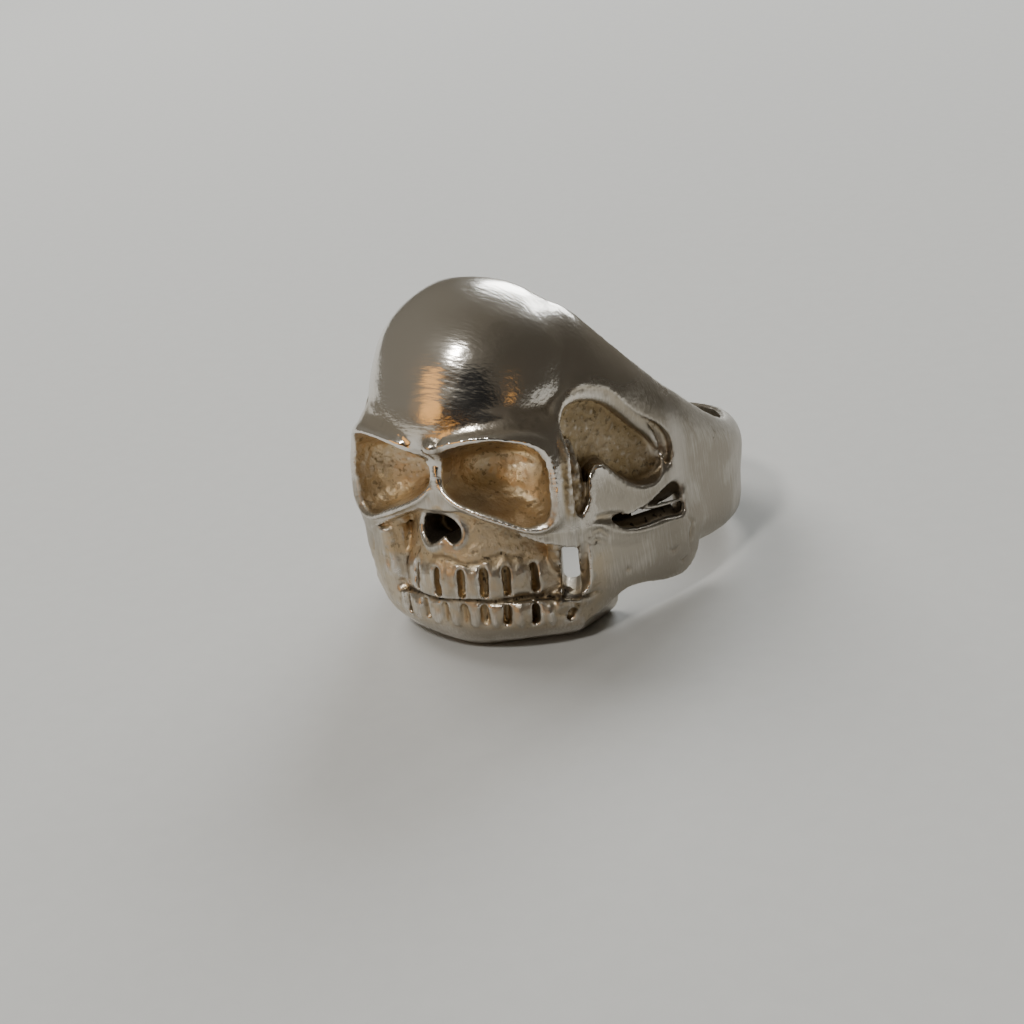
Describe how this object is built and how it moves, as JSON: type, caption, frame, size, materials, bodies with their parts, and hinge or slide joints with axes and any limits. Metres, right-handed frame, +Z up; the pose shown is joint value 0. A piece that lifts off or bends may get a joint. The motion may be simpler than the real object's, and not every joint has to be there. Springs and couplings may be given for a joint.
{
  "type": "skull finger ring",
  "caption": "Cast silver finger ring with a skull for its front, the lower jaw joined on, hollow eye sockets and temples, and a plain rounded shank.",
  "frame": {"origin": "on the surface the ring rests on, under the middle of its bounding box", "axes": "+Z up, the skull looks towards -Y and leans back a little, +X is the skull's left"},
  "size_m": [0.0234, 0.0288, 0.0224],
  "materials": {
    "silver": "worn, hand polished cast silver with dark tarnish in the hollows"
  },
  "bodies": {
    "root": {"skull_ring": "silver"}
  },
  "joints": []
}
